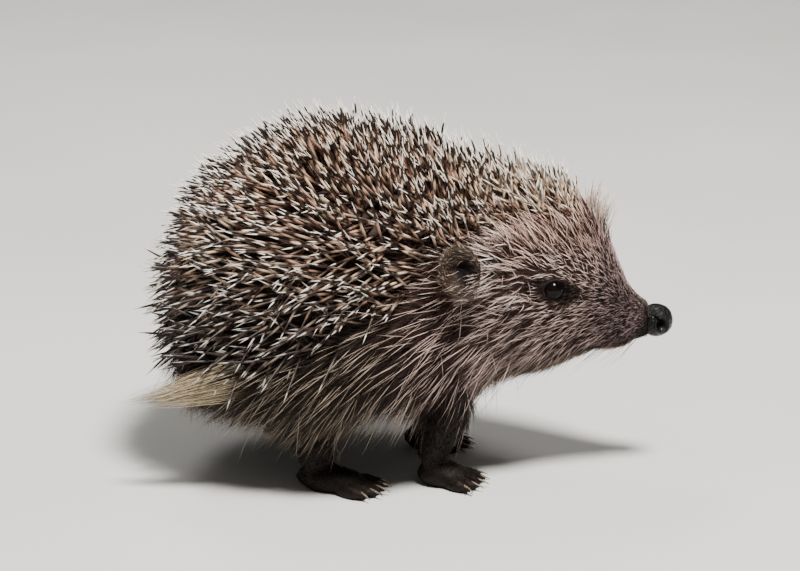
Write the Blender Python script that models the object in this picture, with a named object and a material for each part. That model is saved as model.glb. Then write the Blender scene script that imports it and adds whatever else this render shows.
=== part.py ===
"""A young European hedgehog, life size, standing in mid stride with its head turned a little to its left.

The nose points along +X, the left side is +Y and the soles stand on Z = 0. The solids reach to the tips
of the spines and the hair. Lengths in the tables are millimetres; everything built is in metres.
"""

import math
from typing import NamedTuple

import bmesh
import bpy
from mathutils import Matrix, Vector

MM = 0.001
GAP = 0.3 * MM

# ---------------------------------------------------------------- driving dimensions

RUMP_LENGTH = 57.0
RUMP_FRONT = -18.0
RUMP_SKIRT = 3.8
HEAD_TURN = math.radians(10.0)
TURN_START = 4.0
TURN_END = 24.0

TRUNK_END = 4.0
NECK_END = 14.0
NOSE_START = 77.8
NOSE_TIP = 85.0
NOSE_HEIGHT = 49.0

EYE_AT = 47.3
EYE_HEIGHT = 63.1
EYE_RADIUS = 3.8
EYE_BULGE = 1.6
ORBIT_RADIUS = 11.0
ORBIT_DEPTH = 1.3

MOUTH_BACK = 50.0
MOUTH_FRONT = 72.6
MOUTH_BACK_HEIGHT = 41.8
MOUTH_FRONT_HEIGHT = 44.2

EAR_AT = 20.0
EAR_HEIGHT = 71.5
EAR_FACING = math.radians(60.0)
EAR_STAND_OUT = 1.0
EAR_SIZE = (5.5, 6.8, 9.4)
EAR_HOLLOW = (7.6, 5.2, 7.8)
EAR_HOLLOW_FORWARD = 4.6

RING_POINTS = 32


class Section(NamedTuple):
    """One upright cross-section of the body, in millimetres along the back."""

    at: float
    centre: float
    half_width: float
    up: float
    down: float
    upper_squareness: float
    lower_squareness: float


BODY = (
    Section(RUMP_FRONT, 56.0, 51.0, 57.5, 44.0, 2.3, 3.0),
    Section(0.0, 57.0, 48.5, 53.5, 38.5, 2.3, 3.0),
    Section(12.0, 59.0, 41.0, 48.8, 39.5, 2.2, 2.7),
    Section(20.0, 61.2, 34.0, 44.3, 39.5, 2.15, 2.4),
    Section(26.0, 63.2, 30.0, 41.0, 36.0, 2.1, 2.2),
    Section(35.0, 66.0, 25.5, 36.2, 33.7, 2.0, 2.1),
    Section(48.0, 65.0, 19.0, 32.3, 30.6, 2.0, 2.1),
    Section(57.0, 62.3, 14.2, 27.6, 24.5, 2.0, 2.1),
    Section(62.5, 59.2, 11.4, 22.8, 19.8, 2.0, 2.0),
    Section(66.6, 56.4, 9.5, 15.2, 17.0, 2.0, 2.0),
    Section(71.0, 51.8, 7.6, 9.0, 11.0, 2.0, 2.0),
    Section(74.4, 50.2, 6.5, 6.7, 6.9, 2.0, 2.0),
    Section(NOSE_START, 49.1, 5.2, 5.4, 5.3, 2.0, 2.0),
    Section(NOSE_TIP + 2.0, 48.6, 3.6, 3.8, 3.8, 2.0, 2.0),
)


class Limb(NamedTuple):
    """A leg from its root in the trunk to its ankle, then the foot that it stands on."""

    root: tuple
    joint: tuple
    ankle: tuple
    foot_length: float
    foot_width: float
    heading: float
    radii: tuple
    claw: float


LIMBS = {
    "leg_front_right": Limb((15, -19, 42), (18, -19.0, 24), (12.0, -15.5, 8), 22, 14.5, -4, (12.0, 7.6, 5.2), 4.0),
    "leg_front_left": Limb((13, 19, 42), (11, 20.0, 24), (1.0, 17.0, 8), 22, 14.5, 8, (12.0, 7.6, 5.2), 4.0),
    "leg_hind_right": Limb((-38, -22, 44), (-20, -27.0, 26), (-24.0, -26.5, 8), 31, 15.0, -8, (17.0, 9.6, 5.8), 4.6),
    "leg_hind_left": Limb((-42, 22, 44), (-38, 26.0, 26), (-49.0, 24.0, 8), 31, 15.0, 8, (17.0, 9.6, 5.8), 4.6),
}
TOES = 5
TOE_RADIUS = 2.3
CLAW_RADIUS = 0.75

COLOURS = {
    "spines": ((0.20, 0.145, 0.11), 0.55),
    "fur": ((0.17, 0.115, 0.085), 0.8),
    "bare_skin": ((0.05, 0.04, 0.038), 0.5),
    "nose_leather": ((0.018, 0.016, 0.018), 0.32),
    "eyeball": ((0.006, 0.005, 0.005), 0.06),
}


# ---------------------------------------------------------------- small helpers


def material(name):
    """One finish, made once and shared by the pieces that wear it."""
    found = bpy.data.materials.get(name)
    if found:
        return found
    colour, roughness = COLOURS[name]
    made = bpy.data.materials.new(name)
    made.use_nodes = True
    shader = made.node_tree.nodes["Principled BSDF"]
    shader.inputs["Base Color"].default_value = (*colour, 1.0)
    shader.inputs["Roughness"].default_value = roughness
    shader.inputs["Metallic"].default_value = 0.0
    return made


def piece(name, mesh_maker, finish, helper=False):
    """Turns a bmesh into an object; a helper only cuts or joins and is left out of the model."""
    mesh = bpy.data.meshes.new(name)
    bmesh.ops.recalc_face_normals(mesh_maker, faces=mesh_maker.faces)
    mesh_maker.to_mesh(mesh)
    mesh_maker.free()
    mesh.shade_smooth()
    made = bpy.data.objects.new(name, mesh)
    bpy.context.scene.collection.objects.link(made)
    made.data.materials.append(material(finish))
    if helper:
        made.hide_render = True
        made.display_type = "WIRE"
    return made


def boolean(target, other, operation):
    """Joins other to target, or cuts it away, with Blender's exact solver."""
    step = target.modifiers.new(f"{operation.lower()}_{other.name}", "BOOLEAN")
    step.operation = operation
    step.solver = "EXACT"
    step.object = other


def between(table, at, column):
    """A smooth curve through one column of the body's sections (cubic Hermite, no overshoot at the ends)."""
    last = len(table) - 1
    i = max(0, min(last - 1, sum(1 for row in table if row.at <= at) - 1))
    here, after = table[i], table[i + 1]
    before, beyond = table[max(i - 1, 0)], table[min(i + 2, last)]
    span = after.at - here.at
    t = min(max((at - here.at) / span, 0.0), 1.0)
    a, b = getattr(here, column), getattr(after, column)
    slope_a = (b - getattr(before, column)) / (after.at - before.at) * span if i else 0.0
    slope_b = (getattr(beyond, column) - a) / (beyond.at - here.at) * span
    return (
        a * (1 + 2 * t) * (1 - t) ** 2
        + slope_a * t * (1 - t) ** 2
        + b * t * t * (3 - 2 * t)
        + slope_b * t * t * (t - 1)
    )


def backbone(at):
    """Where the back's line is, seen from above, and which way it heads: straight, a short bend, straight."""
    bend = TURN_END - TURN_START
    if at <= TURN_START:
        return Vector((at, 0, 0)), 0.0
    turned = HEAD_TURN * min((at - TURN_START) / bend, 1.0)
    radius = bend / HEAD_TURN
    point = Vector((TURN_START + radius * math.sin(turned), radius * (1 - math.cos(turned)), 0))
    past = max(at - TURN_END, 0.0)
    return point + past * Vector((math.cos(turned), math.sin(turned), 0)), turned


def section_at(at):
    """The cross-section at one place along the back: the table's curve, or the round end of the rump."""
    width, up, down = (between(BODY, at, column) for column in ("half_width", "up", "down"))
    if at < RUMP_FRONT:
        back = min((RUMP_FRONT - at) / RUMP_LENGTH, 1.0)
        arch = math.sqrt(1 - back**2)
        skirt = (1 - back**RUMP_SKIRT) ** (1 / RUMP_SKIRT)
        width, up, down = width * (0.6 * arch + 0.4 * skirt), up * arch, down * skirt
    rest = [between(BODY, at, column) for column in ("centre", "upper_squareness", "lower_squareness")]
    return Section(at, rest[0], width, up, down, rest[1], rest[2])


def power(value, exponent):
    return math.copysign(abs(value) ** exponent, value)


def on_body(at, angle, grow=0.0):
    """A point of the body's surface, in millimetres: angle 0 is its left side and 90 degrees its top."""
    here = section_at(at)
    above = math.sin(angle) > 0
    rise = here.up if above else here.down
    bend = 2 / (here.upper_squareness if above else here.lower_squareness)
    across = (here.half_width + grow) * power(math.cos(angle), bend)
    height = here.centre + (rise + grow) * power(math.sin(angle), bend)
    origin, turned = backbone(at)
    return origin + Vector((-math.sin(turned) * across, math.cos(turned) * across, height))


def head_point(at, aside, height):
    """A point given along the back, to the animal's left and above the floor, in millimetres."""
    origin, turned = backbone(at)
    return origin + Vector((-math.sin(turned) * aside, math.cos(turned) * aside, height))


def skin_over(rings):
    """Bridges a row of rings into a closed body with a flat face at each end."""
    made = bmesh.new()
    rows = []
    for ring in rings:
        verts = [made.verts.new(point * MM) for point in ring]
        rows.append([made.edges.new((verts[i - 1], verts[i])) for i in range(len(verts))])
    for first, second in zip(rows, rows[1:]):
        bmesh.ops.bridge_loops(made, edges=first + second)
    bmesh.ops.holes_fill(made, edges=rows[0] + rows[-1], sides=0)
    return made


def body_length(stations, grow=0.0):
    """A length of the body through the given stations along its back."""
    return skin_over(
        [
            [on_body(at, math.tau * i / RING_POINTS, grow) for i in range(RING_POINTS)]
            for at in stations
        ]
    )


def steps(start, end, count):
    return [start + (end - start) * i / count for i in range(count + 1)]


def ball(radii, centre, turn=0.0, segments=16, rings=10):
    """An ellipsoid with its half sizes and centre in millimetres, turned about the upright axis."""
    made = bmesh.new()
    place = (
        Matrix.Translation(Vector(centre) * MM)
        @ Matrix.Rotation(turn, 4, "Z")
        @ Matrix.Diagonal((*(Vector(radii) * MM), 1.0))
    )
    bmesh.ops.create_uvsphere(made, u_segments=segments, v_segments=rings, radius=1.0, matrix=place)
    return made


def cone(base, tip, base_radius, tip_radius, segments=8):
    """A tapering round rod from base to tip, in millimetres."""
    made = bmesh.new()
    along = Vector(tip) - Vector(base)
    place = (
        Matrix.Translation((Vector(base) + Vector(tip)) / 2 * MM)
        @ along.to_track_quat("Z", "Y").to_matrix().to_4x4()
    )
    bmesh.ops.create_cone(
        made,
        cap_ends=True,
        segments=segments,
        radius1=base_radius * MM,
        radius2=tip_radius * MM,
        depth=along.length * MM,
        matrix=place,
    )
    return made


# ---------------------------------------------------------------- trunk, neck and head


def rump_stations():
    """Stations that crowd towards the round end of the rump, so that it closes smoothly."""
    quarter = [math.radians(90 - 4 - 86 * i / 12) for i in range(13)]
    return [RUMP_FRONT - RUMP_LENGTH * math.sin(angle) for angle in quarter]


def trunk_stations():
    return rump_stations() + steps(RUMP_FRONT, TRUNK_END, 4)[1:]


def neck_stations():
    return steps(TRUNK_END + GAP / MM, NECK_END, 2)


def head_stations():
    return steps(NECK_END + GAP / MM, NOSE_START - GAP / MM, 20)


def build_body_clearance():
    """The whole body grown by one gap: it cuts back whatever grows from the body, so that nothing overlaps."""
    stations = trunk_stations() + neck_stations() + head_stations()
    return piece("body_clearance", body_length(stations, GAP / MM), "fur", helper=True)


def build_trunk():
    """The spine-covered body, with the skirt of long hair along its lower edge."""
    return piece("trunk", body_length(trunk_stations()), "spines")


def build_neck():
    """The short neck between the shoulders and the ears, one gap clear of both."""
    return piece("neck", body_length(neck_stations()), "spines")


def eye_centre(side):
    """The middle of an eyeball: its radius lies inside the head's surface but for the bulge of its front."""
    surface = surface_aside(EYE_AT, EYE_HEIGHT) - ORBIT_DEPTH
    return head_point(EYE_AT, side * (surface - EYE_RADIUS + EYE_BULGE), EYE_HEIGHT)


def surface_aside(at, height):
    """How far the head's surface stands out sideways at a given height."""
    here = section_at(at)
    above = height > here.centre
    rise = abs(height - here.centre) / (here.up if above else here.down)
    squareness = here.upper_squareness if above else here.lower_squareness
    return here.half_width * (1 - rise**squareness) ** (1 / squareness)


def mouth_wedge(name, grow):
    """A block whose top face is the line of the mouth and which holds all of the lower jaw."""
    made = bmesh.new()
    bmesh.ops.create_cube(made, size=1.0)
    length, depth, width = MOUTH_FRONT - MOUTH_BACK, 20.0, 60.0
    slope = math.atan2(MOUTH_FRONT_HEIGHT - MOUTH_BACK_HEIGHT, length)
    middle = head_point(
        (MOUTH_FRONT + MOUTH_BACK) / 2, 0, (MOUTH_FRONT_HEIGHT + MOUTH_BACK_HEIGHT) / 2
    )
    place = (
        Matrix.Translation(middle * MM)
        @ Matrix.Rotation(HEAD_TURN, 4, "Z")
        @ Matrix.Rotation(-slope, 4, "Y")
        @ Matrix.Translation(Vector((0, 0, -depth / 2 + grow)) * MM)
        @ Matrix.Diagonal((*(Vector((length + 2 * grow, width, depth)) * MM), 1.0))
    )
    bmesh.ops.transform(made, matrix=place, verts=made.verts)
    return piece(name, made, "fur", helper=True)


def build_head():
    """The head out to the tips of its hair, hollowed shallowly round each eye, with the jaw cut free."""
    head = piece("head", body_length(head_stations()), "fur")
    jaw = piece("jaw", body_length(head_stations()), "fur")
    boolean(jaw, mouth_wedge("jaw_space", 0.0), "INTERSECT")
    boolean(head, mouth_wedge("jaw_clearance", GAP / MM), "DIFFERENCE")
    for side, word in ((1, "left"), (-1, "right")):
        surface = surface_aside(EYE_AT, EYE_HEIGHT)
        orbit = head_point(EYE_AT, side * (surface + ORBIT_RADIUS - ORBIT_DEPTH), EYE_HEIGHT)
        hollow = piece(f"orbit_{word}", ball([ORBIT_RADIUS] * 3, orbit), "fur", helper=True)
        boolean(head, hollow, "DIFFERENCE")
        socket_size = [EYE_RADIUS + GAP / MM] * 3
        socket = piece(f"socket_{word}", ball(socket_size, eye_centre(side)), "fur", helper=True)
        boolean(head, socket, "DIFFERENCE")
        piece(f"eye_{word}", ball([EYE_RADIUS] * 3, eye_centre(side)), "eyeball")
    return head


def build_nose():
    """The bare nose pad: a rounded knob a little wider than the muzzle, with a nostril bored in each side."""
    length = NOSE_TIP - NOSE_START
    pad = bmesh.new()
    middle = head_point(NOSE_START + 0.42 * length, 0, NOSE_HEIGHT)
    half = Vector((0.58 * length, 4.8, 5.1))
    place = (
        Matrix.Translation(middle * MM)
        @ Matrix.Rotation(HEAD_TURN, 4, "Z")
        @ Matrix.Diagonal((*(half * MM), 1.0))
    )
    bmesh.ops.create_uvsphere(pad, u_segments=20, v_segments=12, radius=1.0, matrix=place)
    back, turned = backbone(NOSE_START)
    facing = Vector((math.cos(turned), math.sin(turned), 0))
    cut = bmesh.ops.bisect_plane(
        pad,
        geom=pad.verts[:] + pad.edges[:] + pad.faces[:],
        plane_co=back * MM,
        plane_no=facing,
        clear_inner=True,
    )
    rim = [edge for edge in cut["geom_cut"] if isinstance(edge, bmesh.types.BMEdge)]
    bmesh.ops.holes_fill(pad, edges=rim, sides=0)
    nose = piece("nose", pad, "nose_leather")
    for side, word in ((1, "left"), (-1, "right")):
        inner = head_point(NOSE_START + 3.0, side * 2.4, NOSE_HEIGHT - 0.2)
        outer = head_point(NOSE_START + 5.6, side * 6.2, NOSE_HEIGHT - 1.0)
        nostril = piece(f"nostril_{word}", cone(inner, outer, 0.9, 1.5), "nose_leather", helper=True)
        boolean(nose, nostril, "DIFFERENCE")
    return nose


def build_ears(body_clearance):
    """Each ear is an upright cup that opens forwards and outwards, rooted in the side of the head."""
    for side, word in ((1, "left"), (-1, "right")):
        facing = HEAD_TURN + side * EAR_FACING
        opening = Vector((math.cos(facing), math.sin(facing), 0))
        surface = surface_aside(EAR_AT, EAR_HEIGHT)
        centre = head_point(EAR_AT, side * (surface + EAR_STAND_OUT), EAR_HEIGHT)
        ear = piece(f"ear_{word}", ball(EAR_SIZE, centre, facing), "bare_skin")
        mouth = centre + opening * EAR_HOLLOW_FORWARD
        hollow = piece(f"ear_hollow_{word}", ball(EAR_HOLLOW, mouth, facing), "bare_skin", helper=True)
        boolean(ear, hollow, "DIFFERENCE")
        boolean(ear, body_clearance, "DIFFERENCE")


# ---------------------------------------------------------------- tail and legs


def tube(points, radii, sides=12, count=7):
    """A round limb along the smooth curve through three points, its radius following three radii."""
    first, middle, last = (Vector(point) for point in points)
    rings = []
    for i in range(count + 1):
        t = i / count
        here = first * (1 - t) ** 2 + (middle * 2 - (first + last) / 2) * 2 * t * (1 - t) + last * t**2
        ahead = (middle * 2 - (first + last) / 2 - first) * (1 - t)
        ahead += (last - middle * 2 + (first + last) / 2) * t
        radius = radii[0] * (1 - t) ** 2 + radii[1] * 2 * t * (1 - t) + radii[2] * t**2
        square = ahead.to_track_quat("Z", "Y").to_matrix()
        rings.append(
            [
                here + square @ Vector((math.cos(a), math.sin(a), 0)) * radius
                for a in (math.tau * j / sides for j in range(sides))
            ]
        )
    return skin_over(rings)


def build_tail(body_clearance):
    """The short thin tail, which shows below the last spines of the rump."""
    root, bend, tip = (-54, 0, 30), (-61, 0, 18), (-71, 0, 13.5)
    tail = piece("tail", tube((root, bend, tip), (4.6, 3.4, 1.3), sides=10, count=5), "fur")
    boolean(tail, body_clearance, "DIFFERENCE")


def build_leg(name, limb, body_clearance, floor):
    """A leg with a flat-soled foot, five toes and their claws, joined into one body below the trunk."""
    leg = piece(name, tube((limb.root, limb.joint, limb.ankle), limb.radii), "fur")
    heading = math.radians(limb.heading)
    forward = Vector((math.cos(heading), math.sin(heading), 0))
    across = Vector((-math.sin(heading), math.cos(heading), 0))
    ankle = Vector((limb.ankle[0], limb.ankle[1], 0))
    palm_half = limb.foot_length * 0.36
    palm_centre = ankle + forward * (palm_half - 3.5) + Vector((0, 0, 3.6))
    palm_size = (palm_half, limb.foot_width * 0.42, 4.5)
    palm = piece(f"{name}_palm", ball(palm_size, palm_centre, heading, segments=14, rings=8), "fur", helper=True)
    boolean(leg, palm, "UNION")
    for i in range(TOES):
        spread = i / (TOES - 1) * 2 - 1
        root = palm_centre + across * spread * limb.foot_width * 0.30 + forward * palm_half * 0.45
        root.z = 2.2
        reach = limb.foot_length * (0.30 - 0.10 * spread**2)
        knuckle = root + forward * reach + across * spread * limb.foot_width * 0.16
        knuckle.z = 1.7
        along = (knuckle - root).normalized()
        middle = (root + knuckle) / 2
        toe_size = ((knuckle - root).length / 2 + TOE_RADIUS, TOE_RADIUS * 0.85, TOE_RADIUS)
        toe_turn = math.atan2(along.y, along.x)
        toe = ball(toe_size, middle, toe_turn, segments=8, rings=6)
        toe = piece(f"{name}_toe_{i}", toe, "fur", helper=True)
        boolean(leg, toe, "UNION")
        claw_root = knuckle + along * (TOE_RADIUS * 0.2) + Vector((0, 0, 0.6))
        claw_tip = knuckle + along * (TOE_RADIUS + limb.claw * 0.75) + Vector((0, 0, -0.5))
        claw = piece(f"{name}_claw_{i}", cone(claw_root, claw_tip, CLAW_RADIUS, 0.32, 5), "fur", helper=True)
        boolean(leg, claw, "UNION")
    boolean(leg, body_clearance, "DIFFERENCE")
    boolean(leg, floor, "DIFFERENCE")


def build_legs(body_clearance):
    """The four legs, each cut back to one gap below the body and flat on the floor."""
    slab = bmesh.new()
    place = Matrix.Translation((0, 0, -10 * MM)) @ Matrix.Diagonal((0.4, 0.4, 20 * MM, 1.0))
    bmesh.ops.create_cube(slab, size=1.0, matrix=place)
    floor = piece("floor_cut", slab, "fur", helper=True)
    for name, limb in LIMBS.items():
        build_leg(name, limb, body_clearance, floor)


# ---------------------------------------------------------------- the whole animal


def centre_on_origin():
    """Moves every piece, so that the middle of the animal's length and width is at the origin."""
    bpy.context.view_layer.update()
    graph = bpy.context.evaluated_depsgraph_get()
    shown = [made for made in bpy.data.objects if not made.hide_render]
    corners = [
        made.matrix_world @ Vector(corner)
        for made in shown
        for corner in made.evaluated_get(graph).bound_box
    ]
    low = [min(corner[axis] for corner in corners) for axis in range(3)]
    high = [max(corner[axis] for corner in corners) for axis in range(3)]
    shift = Vector(((low[0] + high[0]) / 2, (low[1] + high[1]) / 2, 0))
    for made in bpy.data.objects:
        made.location -= shift


def main():
    for old in list(bpy.data.objects):
        bpy.data.objects.remove(old)
    body_clearance = build_body_clearance()
    build_trunk()
    build_neck()
    build_head()
    build_nose()
    build_ears(body_clearance)
    build_tail(body_clearance)
    build_legs(body_clearance)
    centre_on_origin()


main()
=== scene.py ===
"""The looks of a young hedgehog in mid stride: its hide, eyes, nose pad, claws, spines and hair."""

import math

import bmesh
import bpy
import numpy as np
from mathutils import Matrix, Vector, noise
from mathutils.bvhtree import BVHTree
from mathutils.kdtree import KDTree


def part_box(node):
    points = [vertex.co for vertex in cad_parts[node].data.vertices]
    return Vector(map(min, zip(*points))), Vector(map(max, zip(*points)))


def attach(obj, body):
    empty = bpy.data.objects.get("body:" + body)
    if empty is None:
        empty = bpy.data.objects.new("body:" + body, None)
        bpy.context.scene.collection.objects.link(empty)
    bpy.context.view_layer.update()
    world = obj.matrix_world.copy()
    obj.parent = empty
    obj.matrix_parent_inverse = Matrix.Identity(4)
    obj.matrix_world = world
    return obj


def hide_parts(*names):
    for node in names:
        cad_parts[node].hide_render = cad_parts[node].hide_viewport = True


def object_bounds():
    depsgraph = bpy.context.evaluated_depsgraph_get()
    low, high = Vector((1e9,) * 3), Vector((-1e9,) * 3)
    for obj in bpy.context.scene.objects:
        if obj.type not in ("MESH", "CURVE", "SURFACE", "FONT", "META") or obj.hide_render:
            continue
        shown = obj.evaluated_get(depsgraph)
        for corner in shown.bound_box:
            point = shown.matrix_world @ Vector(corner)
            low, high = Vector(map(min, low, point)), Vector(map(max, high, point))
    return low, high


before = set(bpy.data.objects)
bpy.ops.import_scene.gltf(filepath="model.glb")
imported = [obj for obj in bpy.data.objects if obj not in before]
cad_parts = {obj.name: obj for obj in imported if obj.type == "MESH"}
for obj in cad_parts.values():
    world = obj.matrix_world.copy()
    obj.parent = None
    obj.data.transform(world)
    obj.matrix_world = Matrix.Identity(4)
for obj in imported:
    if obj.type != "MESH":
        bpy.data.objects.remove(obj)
solid_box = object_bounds()

# ------------------------------------------------------------------------------------------ hide
# The hedgehog's own skin, in one piece over its trunk, neck, head, jaw, ears, legs and tail. It
# lies inside the coat by the coat's depth: deep under the spines, hardly at all on the muzzle.

FLESH = ("trunk", "neck", "head", "jaw", "ear_left", "ear_right", "tail")
LEGS = ("leg_front_left", "leg_front_right", "leg_hind_left", "leg_hind_right")
mm = 0.001
HIDE_GRAIN = 0.96 * mm
CAST_GROWN = 0.25


def middle(node):
    low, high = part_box(node)
    return (np.array(low) + np.array(high)) / 2


def smooth(value, start, end):
    """0 before start, 1 after end and an easy slope between them."""
    share = np.clip((value - start) / (end - start), 0.0, 1.0)
    return share * share * (3 - 2 * share)


def unit(vectors):
    return vectors / np.maximum(np.linalg.norm(vectors, axis=-1, keepdims=True), 1e-9)


def dot(a, b):
    return np.sum(a * b, axis=-1, keepdims=True)


SIDES = {"left": 1.0, "right": -1.0}
eye = {side: middle(f"eye_{side}") for side in SIDES}
ear = {side: middle(f"ear_{side}") for side in SIDES}
nose = middle("nose")
crown = (ear["left"] + ear["right"]) / 2
UP = np.array((0.0, 0.0, 1.0))
forward = unit((nose - crown) * (1, 1, 0))
leftward = np.cross(UP, forward)


def body_place(points):
    """Millimetres ahead of the ears along the back, to the left of its line and above the floor."""
    turned = smooth(points[:, 0], crown[0] - 0.018, crown[0] + 0.004)
    ahead = (points[:, 0] - crown[0]) * (1 - turned) + (points - crown) @ forward * turned
    aside = points[:, 1] * (1 - turned) + (points - crown) @ leftward * turned
    return ahead * 1000, aside * 1000, points[:, 2] * 1000


# Tables of millimetres ahead of the ears against the height of the lowest spines, and against the
# depth of the coat where spines grow and where hair does.
HOOD_EDGE = ((-100, -87, -58, -33, -20, -10, -4, 2, 10, 24, 39), (42, 43, 46, 52, 59, 66, 71, 79, 82, 83, 84))
SPINE_DEPTH = ((-100, -80, -60, 0, 20, 34, 42), (10, 12, 13, 12.5, 10.5, 6.5, 3))
HAIR_DEPTH = ((-100, -20, -6, 6, 16, 27, 40, 50, 60), (8, 9, 7.5, 5, 3.2, 2.0, 1.5, 0.9, 0.5))


def off_nearer(pair, points):
    """How far each point is from the nearer of the two eyes or ears, in millimetres."""
    return np.min([np.linalg.norm(points - pair[side], axis=1) for side in SIDES], 0) * 1000


def place_on(points, centre, axes):
    """Millimetres from a centre along each of three directions."""
    apart = (points - centre) * 1000
    return [apart @ axis for axis in axes]


def spiny(points):
    """1 where spines grow, 0 where hair does: the edge climbs over the shoulder and above the ear."""
    ahead, _, height = body_place(points)
    over_edge = smooth(height - np.interp(ahead, *HOOD_EDGE), -1.5, 3.0)
    return over_edge * (1 - smooth(ahead, 35, 40)) * smooth(off_nearer(ear, points), 10.5, 13)


def coat_depth(points):
    """How deep the coat is over the hide, in metres."""
    ahead, _, height = body_place(points)
    under_spines = np.interp(ahead, *SPINE_DEPTH) + 1.5 * smooth(height, 85, 105)
    deeper_brow = 2.2 * smooth(height, 68, 84) * smooth(ahead, 14, 26) * (1 - smooth(ahead, 36, 50))
    under_hair = np.interp(ahead, *HAIR_DEPTH) + deeper_brow
    share = spiny(points)
    return (under_spines * share + under_hair * (1 - share)) * mm


def near(points, name, reach=0.004):
    """How far each point is from a solid of the cast, up to a reach."""
    tree, low, high = cast_parts[name]
    found = np.full(len(points), reach)
    close = np.all((points > low - reach) & (points < high + reach), axis=1)
    for i in np.flatnonzero(close):
        distance = tree.find_nearest(Vector(points[i]), reach)[3]
        if distance is not None:
            found[i] = distance
    return found


def relaxed(values, edges, count, share=0.5):
    """Values of a mesh's points, evened out between neighbours."""
    spots = len(values)
    ends = np.concatenate((edges[:, 0], edges[:, 1]))
    others = np.concatenate((edges[:, 1], edges[:, 0]))
    degree = np.maximum(np.bincount(ends, minlength=spots), 1)
    columns = values.reshape(spots, -1)
    for _ in range(count):
        mean = np.stack([np.bincount(ends, columns[others, i], spots) for i in range(columns.shape[1])], 1)
        columns = columns + (mean / degree[:, None] - columns) * share
    return columns.reshape(values.shape)


def rows(items, name, width, kind=np.float32):
    """One property of all the items of a mesh, with a row for each."""
    found = np.empty(len(items) * width, kind)
    items.foreach_get(name, found)
    return found.reshape(-1, width)


def corners_of(mesh):
    return rows(mesh.vertices, "co", 3).astype(float)


def edges_of(mesh):
    return rows(mesh.edges, "vertices", 2, np.int32)


def normals_of(mesh):
    return rows(mesh.vertex_normals, "vector", 3).astype(float)


def move_to(mesh, points):
    mesh.vertices.foreach_set("co", points.astype(np.float32).ravel())
    mesh.update()


def paint(mesh, name, colours):
    """Paints a colour on each corner of a mesh."""
    opaque = np.c_[colours, np.ones(len(colours))].astype(np.float32)
    mesh.attributes.new(name, "FLOAT_COLOR", "POINT").data.foreach_set("color", opaque.ravel())


def added(name, data):
    """Adds an object with this data to the scene."""
    made = bpy.data.objects.new(name, data)
    bpy.context.scene.collection.objects.link(made)
    return made


def turned_frame(along, above, out, centre):
    """A matrix that takes X, Y and Z to three directions from a centre."""
    turn = Matrix((along, above, out)).transposed().to_4x4()
    return Matrix.Translation(Vector(centre)) @ turn


def lump(maker, sizes, place):
    """Adds a rounded lump of three half sizes in millimetres, at a matrix."""
    made = bmesh.ops.create_icosphere(maker, subdivisions=3, radius=1.0)["verts"]
    bmesh.ops.scale(maker, vec=Vector(sizes) * mm, verts=made)
    bmesh.ops.transform(maker, matrix=place, verts=made)


EAR_SIZE = (7.2, 9.1)
EAR_BOWL, EAR_BACK = 4.6, 6.0
EAR_RIM = 0.84
EAR_ROOT = (4.6, 6.0, 8.0)
EAR_CANAL = (2.6, 1.0)


def ear_axes(side):
    """An ear's own directions: across it, up along it and out of its opening."""
    out = unit(forward * 0.42 + leftward * SIDES[side] * 0.90 + UP * 0.08)
    tall = UP - forward * 0.22
    tall = unit(tall - out * np.dot(tall, out))
    return np.cross(tall, out), tall, out


def ear_cup(side):
    """A thick-rimmed cup with its hollow outwards, on a root that runs into the head."""
    maker = bmesh.new()
    bmesh.ops.create_icosphere(maker, subdivisions=4, radius=1.0)
    for corner in maker.verts:
        across, up, out = corner.co
        round_it = min(math.hypot(across, up), 1.0)
        if out >= 0:
            off_canal = math.hypot(across + SIDES[side] * 0.30 * (1 - round_it), up - 0.08)
            deeper = 0.55 + 0.6 * math.exp(-((off_canal / 0.5) ** 2))
            out = -EAR_BOWL * (1 - min(round_it / EAR_RIM, 1.0) ** 2) * deeper
        else:
            out = -EAR_BACK * math.sqrt(1 - round_it**2)
        narrowed = 1 - 0.20 * max(-up, 0.0)
        corner.co = Vector((across * EAR_SIZE[0] * narrowed, up * EAR_SIZE[1], out)) * mm
    across, tall, out = ear_axes(side)
    cup_place = turned_frame(across, tall, out, ear[side] + (out * 3.0 + tall * 1.6) * mm)
    bmesh.ops.transform(maker, matrix=cup_place, verts=maker.verts)
    root_middle = ear[side] - out * 4.5 * mm - tall * 2.0 * mm
    lump(maker, EAR_ROOT, turned_frame(across, tall, out, root_middle))
    return maker


FOOT_HEADING = {"leg_front_right": -4, "leg_front_left": 8, "leg_hind_right": -8, "leg_hind_left": 8}
TOES = (-1.0, -0.5, 0.0, 0.5, 1.0)
TOE_SIZE = (3.7, 1.6, 1.75)
TOE_BEHIND_TIP, TOE_HEIGHT = 5.4, 1.9
LID_MOUND = (4.5, 4.5, 4.5)


def claw_ends(leg):
    """Where each of a foot's five claws ends and which way it points, found on the leg's solid."""
    heading = math.radians(FOOT_HEADING[leg])
    onward = np.array((math.cos(heading), math.sin(heading), 0))
    sideways = np.array((-math.sin(heading), math.cos(heading), 0))
    corners = np.array([corner.co[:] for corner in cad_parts[leg].data.vertices])
    low = corners[corners[:, 2] < 4 * mm]
    across = low @ sideways
    centre, half = (across.min() + across.max()) / 2, (across.max() - across.min()) / 2
    for toe in TOES:
        close = low[np.abs(across - centre - half * 0.92 * toe) < half * 0.22]
        turn = math.radians(27) * toe * abs(toe) ** 0.3
        yield close[np.argmax(close @ onward)], onward * math.cos(turn) + sideways * math.sin(turn)


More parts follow.
